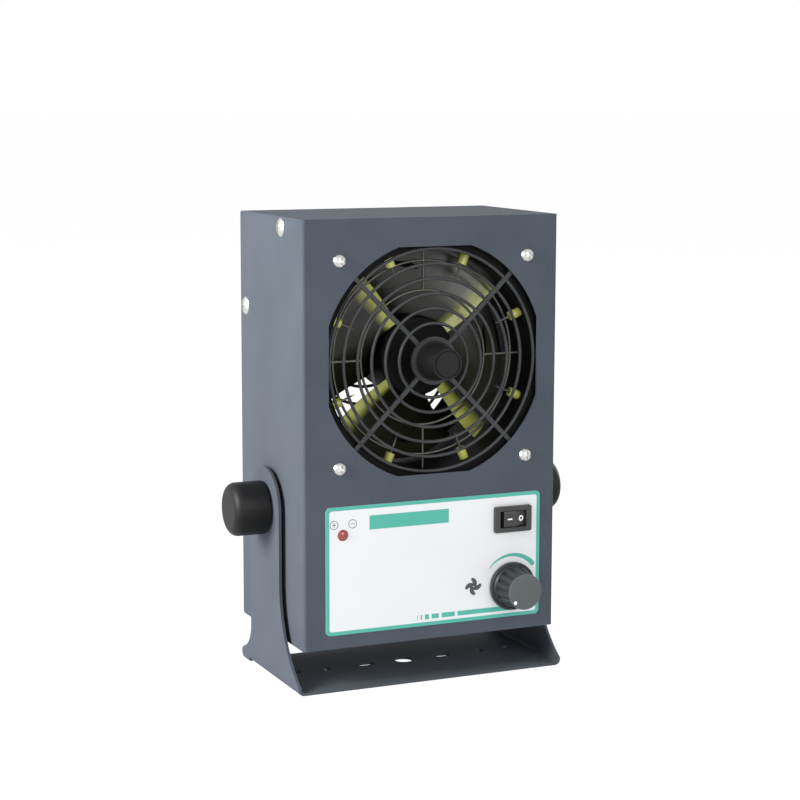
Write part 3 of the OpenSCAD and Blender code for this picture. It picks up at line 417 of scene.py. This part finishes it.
def silicone(name, tone):
    """Soft lead insulation with a dusty, uneven sheen."""
    finish = Finish(name, IOR=1.42, Sheen_Weight=0.2)
    dust = finish.noise(500, 4)
    shade = tuple(0.7 * part for part in tone)
    finish.feed("Base Color", finish.blend(finish.mask(dust, 0.3, 0.7), linear(*shade), linear(*tone)))
    finish.feed("Roughness", 0.45 + 0.2 * dust)
    return finish.bump(dust, 0.04 * MM, 0.5)


GUARD_BLACK = satin_plastic("guard_plastic", (38, 40, 42), (48, 50, 52), 0.42, gloss=0.3)
KNOB_BLACK = satin_plastic("knob_rubber", (14, 14, 15), (20, 20, 21), 0.5, 1600, 0.05, gloss=0.2)
# black plastic for the emitter ring, fan frame and hub, darkened further as painted shade of the fan
# duct's recess
DUCT_BLACK_AND_SHADE = satin_plastic("duct_black_and_painted_shade", (11, 11, 12), (17, 17, 18), 0.6, gloss=0.08)
DULL_STEEL = plated_steel("dull_steel", (100, 98, 92), 0.45)
SHELL_BLACK = satin_plastic("moulded_black", (28, 29, 31), (38, 39, 41), 0.46, gloss=0.35)
SWITCH_BLACK = satin_plastic("switch_plastic", (46, 46, 47), (56, 56, 57), 0.42, gloss=0.35)
DIAL_BLACK = dial_plastic()
TEAL_PRINT = printed_film("teal_print", (67, 159, 144))
DARK_PRINT = printed_film("dark_print", (66, 68, 70))
WHITE_PRINT = printed_film("white_print", (240, 241, 240))

FINISHES = {
    "powder_coat": powder_coat(),
    "black_plastic": SHELL_BLACK,
    "gloss_black": SWITCH_BLACK,
    "bright_steel": plated_steel("bright_nickel", (214, 214, 212), 0.26, (1, 6, 1)),
    "brass": plated_steel("machined_brass", (206, 172, 98), 0.3, (1, 8, 1)),
    "olive_plastic": olive_plastic(),
    "label_grey": printed_film("pale_film", (207, 209, 211)),
    "lamp_red": lens_red(),
    "board_green": solder_mask(),
    "component_dark": satin_plastic("component_case", (44, 45, 48), (58, 59, 62), 0.5, 900),
    "winding": copper_winding(),
    "potting": satin_plastic("potting_resin", (30, 34, 38), (42, 46, 50), 0.3, 200, 0.08),
    "lead_red": silicone("silicone_red", (172, 38, 34)),
    "lead_brown": silicone("silicone_brown", (118, 74, 44)),
    "bristle": satin_plastic("bristle_nylon", (190, 178, 140), (214, 204, 168), 0.4, 900),
    "nylon_grey": satin_plastic("nylon_washer", (70, 71, 74), (84, 85, 88), 0.5, 700),
}
OWN_FINISH = {
    "front_guard": GUARD_BLACK,
    "brush_knob": KNOB_BLACK,
    "clamp_knob_left": KNOB_BLACK,
    "clamp_knob_right": KNOB_BLACK,
    "switch_body": SWITCH_BLACK,
    "emitter_ring": DUCT_BLACK_AND_SHADE,
    "fan_frame": DUCT_BLACK_AND_SHADE,
    "reference_electrode": DULL_STEEL,
    "emitter_needles": DULL_STEEL,
    "back_guard": DULL_STEEL,
}


def dress_nodes():
    """Gives every construction node the finish of its slot, or its own."""
    for part in frame["record"]["subparts"]:
        shown = frame["nodes"][part["node"]]
        finish = OWN_FINISH.get(part["node"], FINISHES[part["material_slot"]])
        shown.data.materials.clear()
        shown.data.materials.append(finish)


# ---- the printed panel ----

def on_label(x, z):
    """A place on the label, given in millimetres from its lower left corner."""
    return LABEL_LOW.x + x * MM, LABEL_LOW.z + z * MM


def label_border():
    """Teal border that follows the label's edge."""
    width, height = LABEL_HIGH.x - LABEL_LOW.x, LABEL_HIGH.z - LABEL_LOW.z
    line, outer_corner, inner_corner = 1.9 * MM, 2.5 * MM, 1.4 * MM
    centre = np.array([(LABEL_LOW.x + LABEL_HIGH.x) / 2, (LABEL_LOW.z + LABEL_HIGH.z) / 2])
    outer = centre + round_rect(width, height, outer_corner)
    inner = centre + round_rect(width - 2 * line, height - 2 * line, inner_corner)
    return [band(outer, inner, LABEL_LOW.y, PRINT_FRONT)]


def speed_arc():
    """Arc over the speed knob that widens from a hairline to a round end.

    Its half width grows with the share of the sweep, and shrinks as a half circle at the end.
    """
    middle_r, hairline, widest = 16.5 * MM, 0.08 * MM, 1.3 * MM
    start, sweep = math.radians(143), math.radians(106)
    share = np.linspace(0, 1, 64)
    angle = start - sweep * share
    cap = np.clip((1 - share) * sweep * middle_r / widest, 0, 1)
    half = (hairline + widest * share ** 0.8) * np.sqrt(1 - (1 - cap) ** 2)
    way = np.stack([np.cos(angle), np.sin(angle)], -1)
    centre = np.array([DIAL_MIDDLE.x, DIAL_MIDDLE.z])
    left = centre + (middle_r + half)[:, None] * way
    right = centre + (middle_r - half)[:, None] * way
    return [stroke(left, right, LABEL_LOW.y, PRINT_FRONT)]


def scale_bars():
    """Row of bars along the label's foot, each wider than the last."""
    bars, place, foot, height, gap = [], 51.0, 3.4, 2.5, 1.6
    for width in (0.3, 0.8, 2.3, 4.1, 7.6, 41.5):
        x, z = on_label(place, foot)
        bars.append(bar(x, z, width * MM, height * MM, LABEL_LOW.y, PRINT_FRONT))
        place += width + gap
    return bars


def title_bar():
    """Plain bar across the upper part of the label."""
    x, z = on_label(24.0, 53.6)
    width, height = 44.7 * MM, 7.3 * MM
    return [bar(x, z, width, height, LABEL_LOW.y, PRINT_FRONT)]


def polarity_marks():
    """A plus and a minus, each in a thin circle, over the lamp."""
    plus_at, minus_at, circle_r = on_label(4.5, 57.4), on_label(14.7, 57.4), 2.3 * MM
    parts, line, arm = [], 0.3 * MM, 1.2 * MM
    for x, z in (plus_at, minus_at):
        parts.append(ring(x, z, circle_r, line, LABEL_LOW.y, PRINT_FRONT))
        parts.append(bar(x - arm, z - line / 2, 2 * arm, line, LABEL_LOW.y, PRINT_FRONT))
    x, z = plus_at
    for low in (-arm, line / 2):
        parts.append(bar(x - line / 2, z + low, line, arm - line / 2, LABEL_LOW.y, PRINT_FRONT))
    return parts


def fan_sign():
    """Four swept blades round a point.

    A blade's middle line turns by 70 degrees as it goes out; its width follows the root of a sine.
    """
    parts = []
    x, z = on_label(83.1, 18.2)
    start, sweep = math.radians(35), math.radians(70)
    share = np.linspace(0, 1, 20)
    reach = (0.3 + 4.1 * share) * MM
    half = 1.25 * MM * np.sin(np.pi * (0.1 + 0.84 * share)) ** 0.5
    for quarter in range(4):
        angle = start + quarter * RIGHT_ANGLE + sweep * share
        line = np.stack([x + reach * np.cos(angle), z + reach * np.sin(angle)], -1)
        along = np.gradient(line, axis=0)
        side = np.stack([-along[:, 1], along[:, 0]], -1) / np.linalg.norm(along, axis=1)[:, None]
        left = line + half[:, None] * side
        right = line - half[:, None] * side
        parts.append(stroke(left, right, LABEL_LOW.y, PRINT_FRONT))
    return parts


def printed_panel():
    """All the printing on the label."""
    for name, parts, ink in (
            ("label_border", label_border(), TEAL_PRINT),
            ("speed_arc", speed_arc(), TEAL_PRINT),
            ("scale_bars", scale_bars(), TEAL_PRINT),
            ("title_bar", title_bar(), TEAL_PRINT),
            ("polarity_marks", polarity_marks(), DARK_PRINT),
            ("fan_sign", fan_sign(), DARK_PRINT)):
        piece(name, parts, ink, "head")


# ---- rocker and speed knob ----

def rocker_face(across):
    """Depth of the rocker's face from its pivot: two hollows that meet at a soft ridge."""
    ridge, hollow, lip = -5.15 * MM, 1.05 * MM, 0.25 * MM
    share = np.abs(across) / (ROCKER_W / 2)
    return ridge + hollow * share ** 1.5 - lip * np.exp(-(share / 0.2) ** 2)


def tilted(across, depth):
    """X and Y of points that are given from the rocker's pivot, after its tilt."""
    x = ROCKER_MIDDLE.x + across * math.cos(ROCKER_TILT) - depth * math.sin(ROCKER_TILT)
    y = ROCKER_PIVOT_Y + across * math.sin(ROCKER_TILT) + depth * math.cos(ROCKER_TILT)
    return x, y


def rocker():
    """Rocker cap with a dished face, turned about its pivot with its right end pressed.

    The cap is a tube of rings, from bottom to top: its face, then its flat, narrower back.
    The face sinks at the bottom and the top by the tenth power of the way from the middle.
    """
    columns, rows, back_depth, back_share, edge_sink = 40, 25, 3.2 * MM, 0.94, 0.35 * MM
    face = np.linspace(-ROCKER_W / 2, ROCKER_W / 2, columns)
    across = np.concatenate([face, face[::-1] * back_share])
    depth = np.concatenate([rocker_face(face), np.full(columns, back_depth)])
    x, y = tilted(across, depth)
    on_face = np.arange(2 * columns) < columns
    rise = np.linspace(0, 1, rows)[:, None]
    sink = edge_sink * np.abs(2 * rise - 1) ** 10 * on_face
    z = ROCKER_LOW.z + rise * (ROCKER_HIGH.z - ROCKER_LOW.z)
    return [tube(np.stack([x + 0 * rise, y + sink, z + 0 * x], -1))]


def rocker_marks():
    """A dash on the left half and a ring on the right half, laid on the turned face."""
    lift = 0.02 * MM
    dash_w, dash_h = 2.6 * MM, 0.7 * MM
    x, z = ROCKER_MIDDLE.x, ROCKER_MIDDLE.z
    dash = bar(x - 4.9 * MM, z - dash_h / 2, dash_w, dash_h, 0, -PRINT_T)
    loop = ring(x + 3.4 * MM, z, 1.55 * MM, 0.75 * MM, 0, -PRINT_T)
    laid = []
    for vertices, faces in (dash, loop):
        across = vertices[:, 0] - x
        turned_x, turned_y = tilted(across, rocker_face(across) + vertices[:, 1] - lift)
        laid.append((np.stack([turned_x, turned_y, vertices[:, 2]], -1), faces))
    return laid


def dial_grip(centre):
    """The dial's ribbed grip.

    Its radius at angle a is its taper times 1 less a rounded notch, whose depth follows
    the sixth power of cos(ribs a / 2).
    """
    ribs, steps, rows = 14, 336, 24
    foot_r, taper, notch_share = 10.9 * MM, 1.55 * MM, 0.1
    angle = np.linspace(0, TURN, steps, endpoint=False)
    along = np.linspace(DIAL_HIGH.y - 3 * MM, DIAL_LOW.y + 1.5 * MM, rows)[:, None]
    share = np.linspace(0, 1, rows)[:, None]
    notch = notch_share * np.cos(ribs / 2 * angle) ** 6
    radius = (foot_r - taper * share) * (1 - notch * (1 - share ** 8))
    points = np.stack([radius * np.cos(angle), along + 0 * angle, radius * np.sin(angle)], -1)
    return tube(points + np.array(centre))


def dial_skirt(centre):
    """The dial's skirt: a flat ring with a raised, rounded rim."""
    bore_r, seat_r, rim_r = 6.5 * MM, 10.6 * MM, (DIAL_HIGH.x - DIAL_LOW.x) / 2
    inward = np.array([0.2, 0, 0, 0.35, 1.1, 1.3]) * MM
    radius = np.concatenate([[bore_r], rim_r - inward, [seat_r, bore_r]])
    along = DIAL_HIGH.y - np.array([0, 0, 0.2, 1.7, 2.05, 2.1, 1.9, 3.1, 3.1]) * MM
    return lathe(radius, along, centre, 128)


def dial_cap(centre):
    """The dial's flat cap, with a rounded edge and a slightly sunk middle."""
    cap_r, inner_r, edge, sunk = 9.45 * MM, 9.2 * MM, 0.35 * MM, 0.08 * MM
    front = DIAL_LOW.y
    bend = np.linspace(0, RIGHT_ANGLE, 8)
    radius = np.concatenate([[0, cap_r - edge], cap_r - edge + edge * np.sin(bend), [cap_r, inner_r, 0]])
    along = np.concatenate([[front + sunk, front], front + edge - edge * np.cos(bend),
                            front + np.array([1.3, 1.6, 1.6]) * MM])
    return lathe(radius, along, centre, 128)


def speed_dial():
    """Knob with broad ribs between a rimmed skirt and a flat cap."""
    centre = (DIAL_MIDDLE.x, 0, DIAL_MIDDLE.z)
    return [dial_grip(centre), dial_skirt(centre), dial_cap(centre)]


def dial_pointer():
    """White dot near the edge of the dial's cap, at its lowest setting."""
    angle, reach, dot_r = math.radians(222), 7.9 * MM, 0.95 * MM
    x = DIAL_MIDDLE.x + reach * math.cos(angle)
    z = DIAL_MIDDLE.z + reach * math.sin(angle)
    return [disc(x, z, dot_r, DIAL_LOW.y + 0.1 * MM, DIAL_LOW.y - 0.04 * MM, 32)]


# ---- fan and brush ----

def blade_surface(turn_at, side):
    """One face of a blade, as a grid from hub to tip and from front edge to back edge.

    The blade starts as a nearly flat land of constant width and then sweeps through a
    constant angle as it goes back, less a bow of 8 degrees times reach times 1 - reach.
    """
    reach = np.linspace(0, 1, 28)[:, None]
    chord = np.linspace(0, 1, 48)[None, :]
    land_w, land_share, root_sink = 6.5 * MM, 0.25, 0.8 * MM
    front_gap, half_t, edge_thin = 1 * MM, 0.75 * MM, 0.55
    depth = (FAN_HIGH.y - FAN_LOW.y) - 5 * MM
    on_land = np.clip(chord / land_share, 0, 1)
    past = np.clip((chord - land_share) / (1 - land_share), 0, 1)
    radius = HUB_R - root_sink + (BLADE_R - HUB_R + root_sink) * reach
    land = land_w * (on_land - 0.5) * (0.75 + 0.25 * reach) / radius
    bow = math.radians(8) * reach * (1 - reach)
    angle = turn_at + land + BLADE_SWEEP * past - bow
    drop = LAND_DROP * on_land + (depth - LAND_DROP) * past ** 0.9
    taper = 1 - edge_thin * np.abs(2 * chord - 1) ** 4
    y = FAN_LOW.y + front_gap + drop + half_t * (1 + side * taper)
    return np.stack([FAN_X + radius * np.cos(angle), y + 0 * radius, FAN_Z + radius * np.sin(angle)], -1)


def blade(turn_at):
    """A closed blade: its front face and its back face joined all round."""
    front = blade_surface(turn_at, -1)
    back = blade_surface(turn_at, 1)
    return tube(np.concatenate([front, back[:, ::-1]], 1))


def fan_blades():
    """All the blades of the fan wheel."""
    return [blade(BLADE_START + number * TURN / BLADE_COUNT) for number in range(BLADE_COUNT)]


def fan_hub():
    """Hub cup with a rounded front edge and its boss."""
    bore_r, boss_r, face_r, inner_r = 2.05 * MM, 4 * MM, 8 * MM, HUB_R - CUP_WALL
    sunk, soft, boss_l = 0.6 * MM, 2 * MM, 7.5 * MM
    front, back = FAN_LOW.y, FAN_HIGH.y
    bend = np.linspace(0, RIGHT_ANGLE, 10)
    radius = np.concatenate([[bore_r, face_r], HUB_R - soft + soft * np.sin(bend), [
        HUB_R, inner_r, inner_r, boss_r, boss_r, bore_r, bore_r]])
    along = np.concatenate([[front + sunk, front], front + soft - soft * np.cos(bend), [
        back, back, front + CUP_WALL, front + CUP_WALL, front + boss_l, front + boss_l, front + sunk]])
    return [lathe(radius, along, (FAN_X, 0, FAN_Z), 128)]


def bristles():
    """Tufts of fine bristles: each bristle is a thin cone that leans out from its tuft's middle."""
    low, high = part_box("brush_bristles")
    rng = np.random.default_rng(5)
    tufts, per_tuft, first_r, pitch = 5, 24, 38 * MM, 2.4 * MM
    tuft_r, thin, lean_share = 0.82 * MM, 0.1 * MM, 0.12
    golden_angle = math.pi * (3 - math.sqrt(5))
    way = np.array([math.cos(BRUSH_ANGLE), math.sin(BRUSH_ANGLE)])
    turn = np.linspace(0, TURN, 6, endpoint=False)
    size = thin * np.array([0, 1, 0.7, 0])[:, None]
    move = np.array([0, 0, 1, 1])[:, None]
    y = np.array([low.y, low.y, high.y, high.y])[:, None]
    parts = []
    for tuft in range(tufts):
        centre = np.array([FAN_X, FAN_Z]) + way * (first_r + pitch * tuft)
        for number in range(per_tuft):
            spread = tuft_r * math.sqrt((number + 0.5) / per_tuft)
            angle = number * golden_angle
            foot = centre + spread * np.array([math.cos(angle), math.sin(angle)])
            lean = rng.uniform(-lean_share, lean_share, 2) * MM
            x = foot[0] + lean[0] * move + size * np.cos(turn)
            z = foot[1] + lean[1] * move + size * np.sin(turn)
            parts.append(grid(np.stack([x, y + 0 * turn, z], -1), wrap_v=True))
    return parts


# ---- stage ----

def camera():
    """Camera on the object's left, a little above it."""
    place = np.array([-436.6, -973.4, 301.2]) * MM
    forward = np.array([0.40294, 0.90332, -0.14712])
    forward = forward / np.linalg.norm(forward)
    level = np.cross(forward, [0, 0, 1])
    level = level / np.linalg.norm(level)
    upright = np.cross(level, forward)
    roll = math.radians(0.15)
    right = level * math.cos(roll) + upright * math.sin(roll)
    up = upright * math.cos(roll) - level * math.sin(roll)
    matrix = np.eye(4)
    matrix[:3] = np.stack([right, up, -forward, place], 1)
    made = bpy.data.objects.new("camera", bpy.data.cameras.new("camera"))
    bpy.context.scene.collection.objects.link(made)
    made.matrix_world = Matrix(matrix.tolist())
    made.data.sensor_width = 36
    made.data.lens = 91.92
    made.data.clip_end = 100
    bpy.context.scene.camera = made


def lamp(name, place, target, size, power):
    """A square soft light that looks at a point."""
    data = bpy.data.lights.new(name, "AREA")
    data.shape, data.size, data.energy = "SQUARE", size, power
    made = bpy.data.objects.new(name, data)
    bpy.context.scene.collection.objects.link(made)
    made.location = place
    made.rotation_euler = (Vector(target) - Vector(place)).to_track_quat("-Z", "Y").to_euler()


def seen_directly(nodes):
    """1 for camera, glossy and transmitted rays and 0 for the rest."""
    camera_ray, glossy_ray, transmitted_ray = [
        nodes.node("ShaderNodeLightPath", {}, {}, ray)
        for ray in ("Is Camera Ray", "Is Glossy Ray", "Is Transmission Ray")]
    either = nodes.node("ShaderNodeMath", {"operation": "MAXIMUM"}, {0: camera_ray, 1: glossy_ray})
    return nodes.node("ShaderNodeMath", {"operation": "MAXIMUM"}, {0: either, 1: transmitted_ray})


def surroundings():
    """White all round: at full strength where it is seen directly, and dimmer as a light."""
    world = bpy.data.worlds.new("surroundings")
    bpy.context.scene.world = world
    world.use_nodes = True
    nodes = Nodes(world.node_tree)
    strength = nodes.node("ShaderNodeMapRange", {}, {
        "Value": seen_directly(nodes), "To Min": 0.4, "To Max": 1.0})
    background = world.node_tree.nodes["Background"]
    nodes.fill(background.inputs["Color"], (1, 1, 1, 1))
    nodes.fill(background.inputs["Strength"], strength)


def white_floor():
    """Floor that glows white where it is seen directly and still takes a faint shadow."""
    reach, drop, glow_share = 30.0, 0.2 * MM, 0.9
    corners = [(-reach, -reach, 0), (reach, -reach, 0), (reach, reach, 0), (-reach, reach, 0)]
    mesh = bpy.data.meshes.new("floor")
    mesh.from_pydata(corners, [], [(0, 1, 2, 3)])
    floor = bpy.data.objects.new("floor", mesh)
    bpy.context.scene.collection.objects.link(floor)
    floor.location.z = -drop
    finish = Finish("floor_white", Base_Color=(0.85, 0.85, 0.85, 1), Roughness=0.9)
    glow = finish.node("ShaderNodeEmission", {}, {"Strength": 1.06})
    matt = Value(finish, finish.surface.outputs[0])
    mixed = finish.node("ShaderNodeMixShader", {}, {
        0: seen_directly(finish) * glow_share, 1: matt, 2: glow})
    finish.fill(finish.tree.nodes["Material Output"].inputs["Surface"], mixed)
    mesh.materials.append(finish.material)


def studio():
    """White surroundings, a white floor and three soft lamps."""
    bpy.context.scene.view_settings.view_transform = "Standard"
    surroundings()
    white_floor()
    target = (0, 0, 0.12)
    lamp("side_light", (-1.2, -0.03, 0.6), target, 0.7, 38)
    lamp("front_light", (0.3, -2.2, 1.0), target, 1.4, 30)
    lamp("back_light", (1.9, 0.7, 1.0), target, 1.4, 22)


def main():
    """Dresses the construction, adds the modelled pieces and sets the stage."""
    dress_nodes()
    printed_panel()
    piece("rocker_cap", rocker(), SWITCH_BLACK, "rocker", ["switch_rocker"])
    piece("rocker_marks", rocker_marks(), WHITE_PRINT, "rocker")
    piece("speed_dial", speed_dial(), DIAL_BLACK, "speed", ["speed_knob"])
    piece("dial_pointer", dial_pointer(), WHITE_PRINT, "speed")
    piece("fan_blades", fan_blades(), FINISHES["olive_plastic"], "rotor", ["impeller"])
    piece("fan_hub", fan_hub(), DUCT_BLACK_AND_SHADE, "rotor", ["impeller"])
    piece("brush_tufts", bristles(), FINISHES["bristle"], "brush", ["brush_bristles"])
    camera()
    studio()


main()
